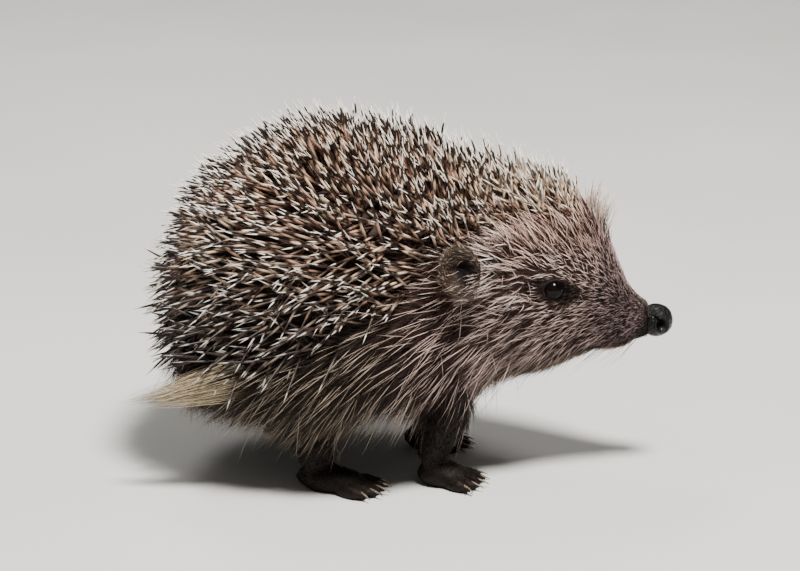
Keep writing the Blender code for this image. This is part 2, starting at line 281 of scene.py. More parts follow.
# A cast of all the flesh, a little grown so that its parts join, with the ears, toes and lids
# shaped finer than in the solids.
cast = bmesh.new()
cast_parts = {}
for name in FLESH + LEGS:
    if name.startswith("ear"):
        solid = ear_cup(name[4:])
    else:
        solid = bmesh.new()
        solid.from_mesh(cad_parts[name].data)
        bmesh.ops.remove_doubles(solid, verts=solid.verts, dist=1e-6)
        solid.normal_update()
        for corner in solid.verts:
            corner.co += corner.normal * CAST_GROWN * mm
    if name in LEGS:
        for end, heading in claw_ends(name):
            toe_middle = end * (1, 1, 0) - heading * TOE_BEHIND_TIP * mm + UP * TOE_HEIGHT * mm
            lump(solid, TOE_SIZE, turned_frame(heading, np.cross(UP, heading), UP, toe_middle))
    if name == "head":
        for side in SIDES:
            lump(solid, LID_MOUND, Matrix.Translation(Vector(eye[side])))
    spots = np.array([corner.co[:] for corner in solid.verts])
    cast_parts[name] = BVHTree.FromBMesh(solid), spots.min(0), spots.max(0)
    spare = bpy.data.meshes.new("spare")
    solid.to_mesh(spare)
    solid.free()
    cast.from_mesh(spare)
    bpy.data.meshes.remove(spare)
hide_mesh = bpy.data.meshes.new("hide_cast")
cast.to_mesh(hide_mesh)
cast.free()
hide = added("hide", hide_mesh)
one_surface = hide.modifiers.new("one_surface", "REMESH")
one_surface.mode = "VOXEL"
one_surface.voxel_size = HIDE_GRAIN
graph = bpy.context.evaluated_depsgraph_get()
hide_mesh = bpy.data.meshes.new_from_object(hide.evaluated_get(graph))
hide.modifiers.clear()
hide.data = hide_mesh

# Only the outer surface is kept, without any pocket left inside the cast.
loose = bmesh.new()
loose.from_mesh(hide_mesh)
loose.verts.ensure_lookup_table()
reached = {max(loose.verts, key=lambda corner: corner.co.z)}
edge_of_reach = list(reached)
while edge_of_reach:
    corner = edge_of_reach.pop()
    for edge in corner.link_edges:
        other = edge.other_vert(corner)
        if other not in reached:
            reached.add(other)
            edge_of_reach.append(other)
bmesh.ops.delete(loose, geom=[corner for corner in loose.verts if corner not in reached], context="VERTS")
loose.to_mesh(hide_mesh)
loose.free()

points, edges = corners_of(hide_mesh), edges_of(hide_mesh)
off_body = np.min([near(points, name) for name in ("trunk", "neck", "head", "jaw")], 0)
off_legs = np.min([near(points, name) for name in LEGS], 0)
off_ears = np.min([near(points, f"ear_{side}") for side in SIDES], 0)
off_tail = near(points, "tail")
limb_share = relaxed((np.minimum(off_legs, off_tail) < off_body).astype(float), edges, 4)
ear_share = relaxed((off_ears < off_body).astype(float), edges, 3)

# It sinks by the coat's depth in small steps, and is evened out after each.
limb_depth = (0.2 + 1.0 * smooth(points[:, 2] * 1000, 4, 10)) * mm
depth = coat_depth(points) * (1 - limb_share) + limb_depth * limb_share
depth = depth * (1 - ear_share) + 0.25 * mm * ear_share
depth = relaxed(depth, edges, 12)
trunk_share = 1 - smooth(body_place(points)[0], -6, 16)
body_only = (1 - limb_share) * (1 - ear_share)
limb_even = 0.08 + 0.62 * smooth(points[:, 2] * 1000, 7, 12)
STEPS = 8
for _ in range(STEPS):
    move_to(hide_mesh, points)
    points = points - normals_of(hide_mesh) * (depth / STEPS)[:, None]
    evened = relaxed(points, edges, 3)
    crown_share = smooth(points[:, 2] * 1000, 76, 86)
    even_share = np.maximum(0.9 * np.maximum(trunk_share, crown_share), 0.25) * body_only
    even_share += limb_even * limb_share + 0.10 * ear_share * (1 - limb_share)
    points += (evened - points) * even_share[:, None]
points[:, 2] = np.where(points[:, 2] < 0.8 * mm, np.maximum(points[:, 2] - 0.5 * mm, 0), points[:, 2])
move_to(hide_mesh, points)
for name, share in (("limb", limb_share), ("ear", ear_share)):
    hide_mesh.attributes.new(name, "FLOAT", "POINT").data.foreach_set("value", share.astype(np.float32))

# The face is cut finer round the eyes, the ears and the muzzle, so that lids and lips can be shaped.
FINE_ROUND_EYE = 7.5 * mm
MUZZLE_START = 40 * mm
fine = bmesh.new()
fine.from_mesh(hide_mesh)
ear_layer = fine.verts.layers.float["ear"]
in_ear = [edge for edge in fine.edges if edge.verts[0][ear_layer] > 0.4]
bmesh.ops.subdivide_edges(fine, edges=in_ear, cuts=1, use_grid_fill=True)
for side in SIDES:
    spot = Vector(eye[side])
    close = [edge for edge in fine.edges if (edge.verts[0].co - spot).length < FINE_ROUND_EYE]
    bmesh.ops.subdivide_edges(fine, edges=close, cuts=2, use_grid_fill=True)
behind_muzzle = Vector(crown + forward * MUZZLE_START)
on_muzzle = [edge for edge in fine.edges if (edge.verts[0].co - behind_muzzle).dot(Vector(forward)) > 0]
bmesh.ops.subdivide_edges(fine, edges=on_muzzle, cuts=1, use_grid_fill=True)
fine.to_mesh(hide_mesh)
fine.free()

EYE_RADIUS = 3.75
LID_OPENING = (3.2, 2.75)
LID_RAISED, LID_CREASE, LID_TURNED_IN = 0.40, 0.30, 1.7


def eye_axes(side):
    """The eye's own directions: towards the nose, up, and out of the head."""
    out = unit(leftward * SIDES[side] * 0.93 + forward * 0.28 + UP * 0.16)
    along = unit(forward - out * np.dot(forward, out))
    return along, np.cross(out, along) * -SIDES[side], out


# The lids follow the eyeball, a little raised off it. They turn in to it at their opening, and a
# crease runs over the upper one.
points, edges = corners_of(hide_mesh), edges_of(hide_mesh)
points = relaxed(points, edges, 2) * 0.6 + points * 0.4
for side in SIDES:
    a, b, c = place_on(points, eye[side], eye_axes(side))
    reach = np.sqrt((a / LID_OPENING[0]) ** 2 + (b / LID_OPENING[1]) ** 2)
    across = np.minimum(np.hypot(a, b), EYE_RADIUS - 0.25)
    ball = np.sqrt(EYE_RADIUS**2 - across**2)
    crease = LID_CREASE * np.exp(-(((reach - 1.62) / 0.13) ** 2)) * smooth(b, 0.2, 1.2)
    lid = LID_RAISED + 0.15 * smooth(b, 0, 1.5) - LID_TURNED_IN * (1 - smooth(reach, 0.78, 1.12))
    share = smooth(reach, 1.35, 2.4)
    wanted = (ball + lid - crease) * (1 - share) + c * share
    held = (c > -1.0) & (reach < 2.4)
    points += np.where(held, wanted - c, 0.0)[:, None] * eye_axes(side)[2] * mm

LIP_LINE = ((30, 41, 54), (41.4, 41.4, 44.4))
LIP_GROOVE = 1.0


def above_lip(ahead, height):
    """How far a point is above the line of the mouth, in millimetres, and how far it is within its ends."""
    within = smooth(ahead, 31, 36) * (1 - smooth(ahead, 52, 54))
    return height - np.interp(ahead, *LIP_LINE), within


over, within = above_lip(*body_place(points)[::2])
move_to(hide_mesh, points)
points -= normals_of(hide_mesh) * (np.exp(-((over / 0.55) ** 2)) * within * LIP_GROOVE * mm)[:, None]
move_to(hide_mesh, points)
hide_mesh.shade_smooth()

bpy.context.view_layer.objects.active = hide
hide.select_set(True)
bpy.ops.object.mode_set(mode="EDIT")
bpy.ops.mesh.select_all(action="SELECT")
bpy.ops.uv.smart_project(angle_limit=math.radians(70), island_margin=0.002)
bpy.ops.object.mode_set(mode="OBJECT")
hide_mesh.uv_layers.active.name = "OFBake"


def eye_patch(points):
    """The dark patch round each eye, drawn out towards the nose."""
    found = np.zeros(len(points))
    for side in SIDES:
        a, b, c = place_on(points, eye[side], eye_axes(side))
        stretched = np.where(a > 0, a / 2.1, a / 1.1)
        b = b + 0.30 * np.maximum(a, 0)
        reach = np.sqrt(stretched**2 + (b * 1.1) ** 2)
        found = np.maximum(found, (1 - smooth(reach, 3.0, 5.0)) * (c > -3))
    return found


def ear_hollow_shade(points):
    """1 deep in the cup of each ear, where its hollow is painted in shade, 0 on its rim and its back."""
    found = np.zeros(len(points))
    for side in SIDES:
        a, b, c = place_on(points, ear[side], ear_axes(side))
        reach = np.hypot((-SIDES[side] * a - EAR_CANAL[0]) / 4.4, (b - EAR_CANAL[1]) / 5.0)
        found = np.maximum(found, (1 - smooth(reach, 0.55, 1.0)) * (c > -2.5))
    return found


# The coat's colours: at the root of the hair, where the skin shows too, and at its pale tips.
COAT = {
    # The hide under the spines: its own dark brown, made darker still as painted shade between the spines.
    "spine_bed": ((0.024, 0.012, 0.008), (0.16, 0.09, 0.06)),
    "brow": ((0.028, 0.011, 0.008), (0.94, 0.64, 0.55)),
    "cheek": ((0.025, 0.010, 0.008), (0.93, 0.71, 0.64)),
    "skirt": ((0.012, 0.0058, 0.0034), (0.62, 0.51, 0.39)),
    "belly": ((0.040, 0.025, 0.015), (0.34, 0.26, 0.17)),
    "muzzle": ((0.016, 0.008, 0.0075), (0.44, 0.32, 0.31)),
    "chin": ((0.085, 0.042, 0.022), (0.38, 0.23, 0.14)),
    "nose_edge": ((0.005, 0.004, 0.004), (0.030, 0.025, 0.025)),
    "eye_ring": ((0.0040, 0.0026, 0.002), (0.060, 0.034, 0.026)),
    "leg": ((0.007, 0.004, 0.003), (0.045, 0.030, 0.021)),
    "ear": ((0.042, 0.027, 0.019), (0.36, 0.28, 0.22)),
    # Near black deep in each ear's cup: painted shade in its hollow.
    "ear_hollow_shade": ((0.004, 0.003, 0.0025), (0.020, 0.015, 0.012)),
    "cream": ((0.030, 0.018, 0.010), (0.66, 0.54, 0.36)),
    "tuft": ((0.022, 0.011, 0.008), (0.72, 0.585, 0.50)),
}


def blended(colours, name, share):
    return colours * (1 - share[:, None, None]) + np.array(COAT[name])[None] * share[:, None, None]


def markings(points, normals, limb, ear_part):
    """The colours of the coat at its root and at its tips, for points of the hide. Each is laid over
    those before it."""
    ahead, _, height = body_place(points)
    over, within = above_lip(ahead, height)
    on_ear = smooth(ear_part, 0.3, 0.8)
    colours = np.repeat(np.array(COAT["cheek"])[None], len(points), 0)
    for name, share in (
        ("brow", smooth(ahead, 6, 20) * smooth(height, 66, 76)),
        ("skirt", 1 - smooth(ahead, -22, 2)),
        ("belly", smooth(-normals[:, 2], 0.55, 0.85) * (1 - smooth(height, 40, 50))),
        ("muzzle", smooth(ahead, 34, 48)),
        ("chin", smooth(ahead, 35, 42) * smooth(-over, 0.2, 0.9)),
        ("nose_edge", np.exp(-((over / 0.6) ** 2)) * within),
        ("nose_edge", smooth(ahead + 0.3 * (49 - height), 53.0, 57.0)),
        ("eye_ring", eye_patch(points)),
        # Dark brown hide under the spines, partly painted shade between them.
        ("spine_bed", spiny(points)),
        ("leg", smooth(limb, 0.2, 0.8)),
        ("ear", on_ear),
        # Painted shade deep in each ear's cup.
        ("ear_hollow_shade", ear_hollow_shade(points) * on_ear),
    ):
        colours = blended(colours, name, share)
    return colours


class Shade:
    """A socket of a material's nodes, on which sums are written as on a number."""

    def __init__(self, tree, socket=None):
        self.tree = tree
        self.socket = socket

    def node(self, kind, settings=None, inputs=None, output=0):
        """Adds a node, gives it its settings and then its sockets' values or links."""
        made = self.tree.nodes.new(kind)
        for name, value in (settings or {}).items():
            setattr(made, name, value)
        for name, value in (inputs or {}).items():
            if isinstance(value, Shade):
                self.tree.links.new(value.socket, made.inputs[name])
            else:
                made.inputs[name].default_value = value
        return Shade(self.tree, made.outputs[output])

    def own_place(self):
        """Where a point is on its own piece."""
        return self.node("ShaderNodeTexCoord", output=3)

    def maths(self, operation, *values):
        return self.node("ShaderNodeMath", {"operation": operation}, dict(enumerate(values)))

    def __add__(self, other):
        return self.maths("ADD", self, other)

    def __sub__(self, other):
        return self.maths("SUBTRACT", self, other)

    def __mul__(self, other):
        return self.maths("MULTIPLY", self, other)

    __radd__ = __add__

    def between(self, start, end):
        """0 below start, 1 above end and smooth between them."""
        limits = {"Value": self, "From Min": start, "From Max": end}
        return self.node("ShaderNodeMapRange", {"interpolation_type": "SMOOTHSTEP"}, limits)

    def mix(self, first, second):
        """Two colours mixed by this share."""
        return self.node("ShaderNodeMix", {"data_type": "RGBA"}, {6: first, 7: second, 0: self}, 2)

    def tinted(self, colour):
        """This colour multiplied by another."""
        settings = {"data_type": "RGBA", "blend_type": "MULTIPLY"}
        return self.node("ShaderNodeMix", settings, {0: 1.0, 6: self, 7: colour}, 2)

    def speckle(self, scale, detail):
        """A cloudy pattern over this place."""
        return self.node("ShaderNodeTexNoise", inputs={"Vector": self, "Scale": scale, "Detail": detail})

    def painted(self, name):
        """A colour painted on the corners of a mesh."""
        return self.node("ShaderNodeAttribute", {"attribute_name": name})

    def bumps(self, distance, strength):
        """A fine relief of this height."""
        relief = {"Height": self, "Distance": distance, "Strength": strength}
        return self.node("ShaderNodeBump", inputs=relief)


def finish(name, roughness, **constants):
    """A new material: its shader with the values that are the same all over, and a place to start nodes."""
    made = bpy.data.materials.new(name)
    made.use_nodes = True
    shader = made.node_tree.nodes["Principled BSDF"]
    shader.inputs["Roughness"].default_value = roughness
    for socket, value in constants.items():
        shader.inputs[socket.replace("_", " ")].default_value = value
    return made, Shade(made.node_tree), shader


def wear(shader, socket, value):
    """Feeds a value into one of the shader's sockets."""
    shader.id_data.links.new(value.socket, shader.inputs[socket])


hide_points, hide_normals = corners_of(hide_mesh), normals_of(hide_mesh)
shares = (rows(hide_mesh.attributes[name].data, "value", 1) for name in ("limb", "ear"))
limb_part, ear_part = (share[:, 0].astype(float) for share in shares)
hide_colours = markings(hide_points, hide_normals, limb_part, ear_part)
paint(hide_mesh, "skin_tone", hide_colours[:, 0] * 0.9 + hide_colours[:, 1] * 0.06)

hide_finish, start, shader = finish("hide_skin", 0.6, Specular_IOR_Level=0.15)
place = start.own_place()
tone = start.painted("skin_tone")
blotches, pores = place.speckle(260.0, 3.0), place.speckle(1900.0, 4.0)
shadow = tone.tinted((0.55, 0.5, 0.48, 1))
wear(shader, "Base Color", blotches.between(0.35, 0.65).mix(shadow, tone))
wear(shader, "Roughness", 0.45 + pores * 0.3)
wear(shader, "Normal", (pores + blotches * 0.6).bumps(0.0003, 0.7))
hide_mesh.materials.clear()
hide_mesh.materials.append(hide_finish)
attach(hide, "root")
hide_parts(*FLESH, *LEGS)

# ------------------------------------------------------------------------------------------ eyes
# Round wet eyeballs, so dark a brown that they look black, held by the lids of the hide.


def made_of(name, maker, material):
    """Adds an object made of a bmesh."""
    mesh = bpy.data.meshes.new(name)
    maker.to_mesh(mesh)
    maker.free()
    mesh.materials.append(material)
    return added(name, mesh)


def new_piece(name, maker, material, nodes):
    """Adds a smooth object made of a bmesh, and joins it to the animal."""
    bmesh.ops.recalc_face_normals(maker, faces=maker.faces)
    made = made_of(name, maker, material)
    made.data.shade_smooth()
    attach(made, "root")
    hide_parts(*nodes)


eye_finish, start, shader = finish("eye_black", 0.12, Specular_IOR_Level=0.11)
place = start.own_place()
black, brown = (0.0015, 0.0012, 0.0012, 1), (0.005, 0.003, 0.0022, 1)
wear(shader, "Base Color", place.speckle(700.0, 2.0).between(0.4, 0.7).mix(black, brown))
CORNEA_BULGE = 0.25
for side in SIDES:
    maker = bmesh.new()
    bmesh.ops.create_uvsphere(maker, u_segments=40, v_segments=28, radius=EYE_RADIUS * mm)
    for corner in maker.verts:
        to_front = max(corner.co.z / (EYE_RADIUS * mm), 0.0) ** 4
        corner.co.z += CORNEA_BULGE * mm * to_front
    bmesh.ops.transform(maker, matrix=turned_frame(*eye_axes(side), eye[side]), verts=maker.verts)
    new_piece(f"eyeball_{side}", maker, eye_finish, [f"eye_{side}"])

# ------------------------------------------------------------------------------------- nose pad
# A bare, moist knob of black grained skin that caps the snout. On each side a raised rim goes
# round a deep nostril, which runs up and back into a curved slit. A groove parts them in front.

PAD = (5.6, 4.6, 5.1)
PAD_SQUARENESS = 2.15
NOSTRIL_DEPTH, GROOVE_DEPTH, RIM_HEIGHT = 2.2, 0.40, 0.50
nose_corners = [np.array(corner.co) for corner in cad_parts["nose"].data.vertices]
front_of_nose = max(np.dot(corner - crown, forward) for corner in nose_corners)
pad_centre = crown + forward * (front_of_nose - PAD[0] * mm)
pad_centre = np.array((pad_centre[0], pad_centre[1], nose[2]))
maker = bmesh.new()
bmesh.ops.create_icosphere(maker, subdivisions=6, radius=1.0)
for corner in maker.verts:
    ahead, aside, above = corner.co
    square = sum(abs(part) ** PAD_SQUARENESS for part in corner.co) ** (-1 / PAD_SQUARENESS)
    narrow = 1 - 0.12 * smooth(-ahead, 0.0, 0.7)
    lateral = smooth(abs(aside), 0.25, 0.5)
    off_hole = math.hypot((ahead - 0.35) / 0.235, (above + 0.08) / 0.32)
    bend = 0.05 + 0.80 * max(0.35 - ahead, 0) ** 0.8
    off_slit = abs(above - bend) / 0.075 if -0.15 < ahead < 0.40 else 9.0
    slit = math.exp(-(off_slit**2)) * smooth(ahead, -0.15, 0.0)
    hole = min(1.25 * math.exp(-(off_hole**4)) + 0.35 * slit, 1.25) * lateral
    rim = math.exp(-(((off_hole - 1.5) / 0.33) ** 2)) * lateral * (1 - slit)
    groove = math.exp(-((aside / 0.06) ** 2)) * smooth(ahead, 0.3, 0.6)
    grain = noise.noise(corner.co * 9.0) * 0.10 + noise.noise(corner.co * 19.0) * 0.06
    inward = NOSTRIL_DEPTH * hole + GROOVE_DEPTH * groove - RIM_HEIGHT * rim - grain
    out = corner.co.normalized()
    plain = Vector((ahead * PAD[0], aside * PAD[1] * narrow, above * PAD[2] * narrow)) * square
    corner.co = (plain - out * inward) * mm
bmesh.ops.transform(maker, matrix=turned_frame(forward, leftward, UP, pad_centre), verts=maker.verts)
moist = {"Coat_Weight": 0.10, "Coat_Roughness": 0.10, "Specular_IOR_Level": 0.16}
nose_finish, start, shader = finish("nose_leather", 0.2, **moist)
place = start.own_place()
cell_pattern = {"Vector": place, "Scale": 2800.0, "Smoothness": 0.5}
cells = start.node("ShaderNodeTexVoronoi", {"feature": "SMOOTH_F1"}, cell_pattern)
fine_grain = place.speckle(2600.0, 3.0)
# Painted shade and light in the grain: its raised cells are a little lighter, the crevices between them
# darker.
high, low = (0.007, 0.0065, 0.007, 1), (0.0025, 0.0022, 0.0025, 1)
wear(shader, "Base Color", cells.between(0.1, 0.6).mix(high, low))
wear(shader, "Roughness", 0.12 + fine_grain * 0.22)
wear(shader, "Normal", (fine_grain * 0.3 - cells).bumps(0.0003, 0.8))
new_piece("nose_pad", maker, nose_finish, ["nose"])

# ----------------------------------------------------------------------------------------- claws
# Five narrow horn claws on each foot, set in the ends of the toes, curved down and worn pale.

CLAW_LENGTH = 5.6 * mm
CLAW_CONE = {"segments": 8, "radius1": 0.85 * mm, "radius2": 0.13 * mm, "depth": CLAW_LENGTH}
CLAW_HEIGHT = 2.35
claw_finish, start, shader = finish("claw_horn", 0.4, Specular_IOR_Level=0.5)
fibres = start.own_place().speckle(900.0, 3.0)
horn_brown, horn_pale = (0.075, 0.052, 0.038, 1), (0.16, 0.12, 0.085, 1)
wear(shader, "Base Color", fibres.between(0.35, 0.65).mix(horn_brown, horn_pale))
wear(shader, "Roughness", 0.35 + fibres * 0.2)
for leg in LEGS:
    maker = bmesh.new()
    for end, heading in claw_ends(leg):
        corners = bmesh.ops.create_cone(maker, cap_ends=True, **CLAW_CONE)["verts"]
        own_edges = [edge for edge in maker.edges if edge.verts[0] in corners]
        rails = [edge for edge in own_edges if edge.calc_length() > CLAW_LENGTH * 0.8]
        bmesh.ops.subdivide_edges(maker, edges=rails, cuts=5)
        claw = [corner for corner in maker.verts if corner.tag is False]
        for corner in claw:
            corner.tag = True
            share = corner.co.z / CLAW_LENGTH + 0.5
            corner.co.y = corner.co.y * 0.8 - 1.6 * mm * (share - 0.3) ** 2
            corner.co.x *= 1 - 0.25 * share
        lift = end * (1, 1, 0) - heading * (CLAW_LENGTH * 0.5) + UP * CLAW_HEIGHT * mm
        slope = unit(heading - UP * 0.12)
        side = np.cross(UP, slope)
        place_claw = turned_frame(side, np.cross(slope, side), slope, lift)
        bmesh.ops.transform(maker, matrix=place_claw, verts=claw)
    new_piece(f"claws_{leg[4:]}", maker, claw_finish, [])

# ---------------------------------------------------------------------------------------- spines
# Hollow horny spines about 20 mm long and 1 mm thick, set singly in the hide of the back. Each is
# cream below, has one dark brown band and ends in a white point. They are swept back and cross.
# Painted shade darkens their roots and the spines low on the flanks.

hide_mesh.calc_loop_triangles()
triangle_corners = rows(hide_mesh.loop_triangles, "vertices", 3, np.int32)
unwrapped = rows(hide_mesh.uv_layers["OFBake"].data, "uv", 2).astype(float)
triangle_places = unwrapped[rows(hide_mesh.loop_triangles, "loops", 3, np.int32)]
tri = hide_points[triangle_corners]
triangle_area = np.linalg.norm(np.cross(tri[:, 1] - tri[:, 0], tri[:, 2] - tri[:, 0]), axis=1) / 2
triangle_middle = hide_points[triangle_corners].mean(1)
triangle_normal = unit(hide_normals[triangle_corners].mean(1))
triangle_limb = limb_part[triangle_corners].mean(1)
triangle_ear = ear_part[triangle_corners].mean(1)
in_hood = spiny(triangle_middle + triangle_normal * coat_depth(triangle_middle)[:, None] * 0.8)
in_hood = in_hood * smooth(off_nearer(ear, triangle_middle), 9.5, 11.5) * (1 - smooth(triangle_ear, 0.1, 0.3))


def plant(rng, count, weight):
    """Picks roots on the hide at random, more where the weight is greater."""
    share = triangle_area * np.maximum(weight, 0)
    chosen = rng.choice(len(share), count, p=share / share.sum())
    first, second = rng.random(count), rng.random(count)
    flip = first + second > 1
    first[flip], second[flip] = 1 - first[flip], 1 - second[flip]
    mix = np.stack((1 - first - second, first, second), 1)[:, :, None]
    corners = triangle_corners[chosen]
    return {
        "root": (hide_points[corners] * mix).sum(1),
        "normal": unit((hide_normals[corners] * mix).sum(1)),
        "place": (triangle_places[chosen] * mix).sum(1),
        "limb": triangle_limb[chosen],
        "ear": triangle_ear[chosen],
    }


def only(roots, keep):
    return {name: values[keep] for name, values in roots.items()}


def spread_out(points, gap):
    """Leaves out each point that is nearer than its gap to one already kept."""
    cells, kept = {}, []
    size = float(np.max(gap))
    around = [(i, j, k) for i in (-1, 0, 1) for j in (-1, 0, 1) for k in (-1, 0, 1)]
    for n, (point, room) in enumerate(zip(points, gap)):
        cell = tuple(int(c) for c in point // size)
        others = [m for i, j, k in around for m in cells.get((cell[0] + i, cell[1] + j, cell[2] + k), ())]
        if not others or np.min(np.sum((points[others] - point) ** 2, 1)) >= room * room:
            cells.setdefault(cell, []).append(n)
            kept.append(n)
    return np.array(kept)


# Tables of millimetres ahead of the ears against the height of the line through the eye, of the
# distance above that line against the tilt of the coat, and of the flank's height against its tilt.
EYE_LINE = ((-100, 0, 27, 65), (70, 71, 64, 49))
FACE_TILT = ((-44, -36, -26, -20, -13, 0, 7, 20), (-60, -44, -22, -12, -5, 3, 26, 56))
FLANK_TILT = ((12, 25, 40, 62, 85), (-38, -44, -42, -14, 0))


def lie(points, normals, limb):
    """Which way the coat lies along the hide: back from the nose, up over the brow, down the flanks."""
    ahead, _, height = body_place(points)
    face_tilt = np.interp(height - np.interp(ahead, *EYE_LINE), *FACE_TILT)
    flank_tilt = np.interp(height, *FLANK_TILT)
    share = smooth(ahead, -26, -2)
    tilt = np.radians(face_tilt * share + flank_tilt * (1 - share))[:, None]
    back = -(forward[None] * share[:, None] + np.array((1.0, 0, 0))[None] * (1 - share[:, None]))
    flow = unit(back) * np.cos(tilt) + UP * np.sin(tilt)
    down = np.array((-0.25, 0.0, -1.0))
    flow = flow * (1 - limb[:, None]) + down * limb[:, None]
    return unit(flow - normals * dot(flow, normals))


def swung(directions, normals, angle):
    """Directions turned about the hide's normals."""
    angle = angle[:, None]
    return directions * np.cos(angle) + np.cross(normals, directions) * np.sin(angle)


def raised(directions, normals, angle):
    """Directions lifted off the hide by an angle."""
    angle = angle[:, None]
    return directions * np.cos(angle) + normals * np.sin(angle)


def hair_pattern(sides, rings):
    """The faces of one tapering strand, with each corner's place round it and along it."""
    faces, corners = [], []
    for ring in range(rings - 1):
        for s in range(sides):
            a, b = ring * sides + s, ring * sides + (s + 1) % sides
            faces.append((a, b, b + sides, a + sides))
            corners += [(s, ring), (s + 1, ring), (s + 1, ring + 1), (s, ring + 1)]
    last, tip = (rings - 1) * sides, rings * sides
    for s in range(sides):
        faces.append((last + s, last + (s + 1) % sides, tip))
        corners += [(s, rings - 1), (s + 1, rings - 1), (s + 0.5, rings)]
    faces.append(tuple(reversed(range(sides))))
    corners += [(s, 0) for s in reversed(range(sides))]
    return faces, np.array(corners, float)


PATCH_ON_UNWRAP = 0.003


def grow(name, strands, look):
    """Joins strands into one piece. Each bends from its root past its middle to its tip. Its look is its
    sides, its thickness at stops along it, its finish and its slot, which is not used. Its patch of the
    OFBake map is at its root's place."""
    sides, stops, material, slot = look
    stops = np.array(stops)
    rings, count = len(stops), len(strands["root"])
    faces, corners = hair_pattern(sides, rings)
    steps = np.append(stops[:, 0], 1.0)
    root, bend, tip = (strands[key][:, None] for key in ("root", "bend", "tip"))
    t = steps[None, :, None]
    line = root * (1 - t) ** 2 + bend * 2 * t * (1 - t) + tip * t**2
    heading = unit((bend - root) * (1 - t) + (tip - bend) * t)
    side = unit(np.cross(heading, strands["normal"][:, None] + 0.01))
    above = np.cross(side, heading)
    angles = np.arange(sides) * math.tau / sides
    width = strands["radius"][:, None, None, None] * stops[None, :, 1, None, None]
    circle = side[:, :rings, None] * np.cos(angles)[None, None, :, None]
    circle = circle + above[:, :rings, None] * np.sin(angles)[None, None, :, None]
    tube = line[:, :rings, None] + circle * width
    points = np.concatenate((tube.reshape(count, -1, 3), line[:, rings:]), 1)
    points[:, :, 2] = np.maximum(points[:, :, 2], 0.1 * mm)
    each = points.shape[1]

    sizes = np.tile([len(face) for face in faces], count)
    flat = np.concatenate([np.array(face) for face in faces])
    loops = (flat[None] + np.arange(count)[:, None] * each).ravel()
    mesh = bpy.data.meshes.new(name)
    mesh.vertices.add(count * each)
    mesh.vertices.foreach_set("co", points.astype(np.float32).ravel())
    mesh.loops.add(len(loops))
    mesh.loops.foreach_set("vertex_index", loops.astype(np.int32))
    mesh.polygons.add(len(sizes))
    mesh.polygons.foreach_set("loop_start", (np.cumsum(sizes) - sizes).astype(np.int32))
    mesh.update(calc_edges=True)
    mesh.shade_smooth()

    along = np.tile(steps[corners[:, 1].astype(int)], (count, 1))
    own = np.stack((np.repeat(strands["tone"][:, None], len(corners), 1), along), 2)
    mesh.uv_layers.new(name="Strand").data.foreach_set("uv", own.astype(np.float32).ravel())
    patch = np.stack((np.tile(corners[:, 0] / sides, (count, 1)), along), 2) - 0.5
    patch = strands["place"][:, None] + patch * PATCH_ON_UNWRAP
    mesh.uv_layers.new(name="OFBake").data.foreach_set("uv", patch.astype(np.float32).ravel())
    for key in ("root_colour", "tip_colour"):
        paint(mesh, key, np.repeat(strands[key], each, 0))
    mesh.materials.append(material)
    made = added(name, mesh)
    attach(made, "root")


MOST_TRIANGLES = 185000


def by_side(name, strands, look):
    """Grows the strands of the right and the left side apart, each in as many pieces as its size needs."""
    sides, stops = look[:2]
    ahead, aside, _ = body_place(strands["root"])
    triangles = sides * 2 * (len(stops) - 1) + 2 * sides - 2
    for side, group in (("right", aside < 0), ("left", aside >= 0)):
        parts = math.ceil(group.sum() * triangles / MOST_TRIANGLES)
        rank = np.argsort(np.argsort(ahead[group]))
        own = only(strands, group)
        for part in range(parts):
            chosen = (rank * parts) // max(len(rank), 1) == part
            grow(f"{name}_{side}_{part + 1}", only(own, chosen), look)


# Tables of millimetres ahead of the ears against the spines' distance apart, length and half width.
SPINE_GAP = ((-90, 0, 20, 40), (1.76, 1.70, 1.46, 1.15))
SPINE_LENGTH = ((-90, -70, 0, 20, 34, 42), (17.5, 19.5, 19.5, 17, 13.5, 11))
SPINE_RADIUS = ((-90, 10, 28, 42), (0.45, 0.42, 0.35, 0.23))
SHAFT_CREAM, ROSY_SHARE, BROW_PALER = (0.76, 0.56, 0.41), (0.55, 0.46, 0.46), (0.28, 0.24, 0.18)
POINT_WHITE = (0.98, 0.91, 0.82)
SPINES_TRIED = 60000
SWING, MOST_SWING = 32, 58

rng = np.random.default_rng(11)
spines = plant(rng, SPINES_TRIED, in_hood > 0.5)
ahead, _, height = body_place(spines["root"])
gap = np.interp(ahead, *SPINE_GAP) * (1.5 - 0.5 * smooth(height, 44, 68)) * mm
spines = only(spines, spread_out(spines["root"], gap))
root, normal = spines["root"], spines["normal"]
count = len(root)
ahead, _, height = body_place(root)
swing = rng.normal(0, SWING, count).clip(-MOST_SWING, MOST_SWING)
lean = swung(lie(root, normal, np.zeros(count)), normal, np.radians(swing))
rise = 33 + 22 * smooth(normal[:, 2], 0.35, 0.95) - 8 * smooth(-normal[:, 2], 0.0, 0.4)
rise = rise + 14 * smooth(-normal[:, 0], 0.6, 0.95)
rise = rise - 12 * smooth(ahead, 4, 26)
rise = np.radians(rise + 3 + rng.normal(0, 16, count)).clip(0.17, 1.4)
length = np.interp(ahead, *SPINE_LENGTH) * rng.normal(1, 0.11, count).clip(0.7, 1.2)
low_share = np.where(ahead < 0, smooth(height, 36, 50) * 0.22 + 0.78, 1.0)
length = length * (1 - 0.13 * smooth(rise, 0.7, 1.1)) * low_share * mm
straight = raised(lean, normal, rise)
arch = raised(lean, normal, rise - np.radians(6))
spines["bend"] = root + straight * length[:, None] / 2
spines["tip"] = spines["bend"] + arch * length[:, None] / 2
spines["radius"] = np.interp(ahead, *SPINE_RADIUS) * rng.normal(1, 0.10, count) * mm
to_brow = smooth(ahead, -12, 24)
spines["tone"] = rng.random(count) + 0.9 * to_brow
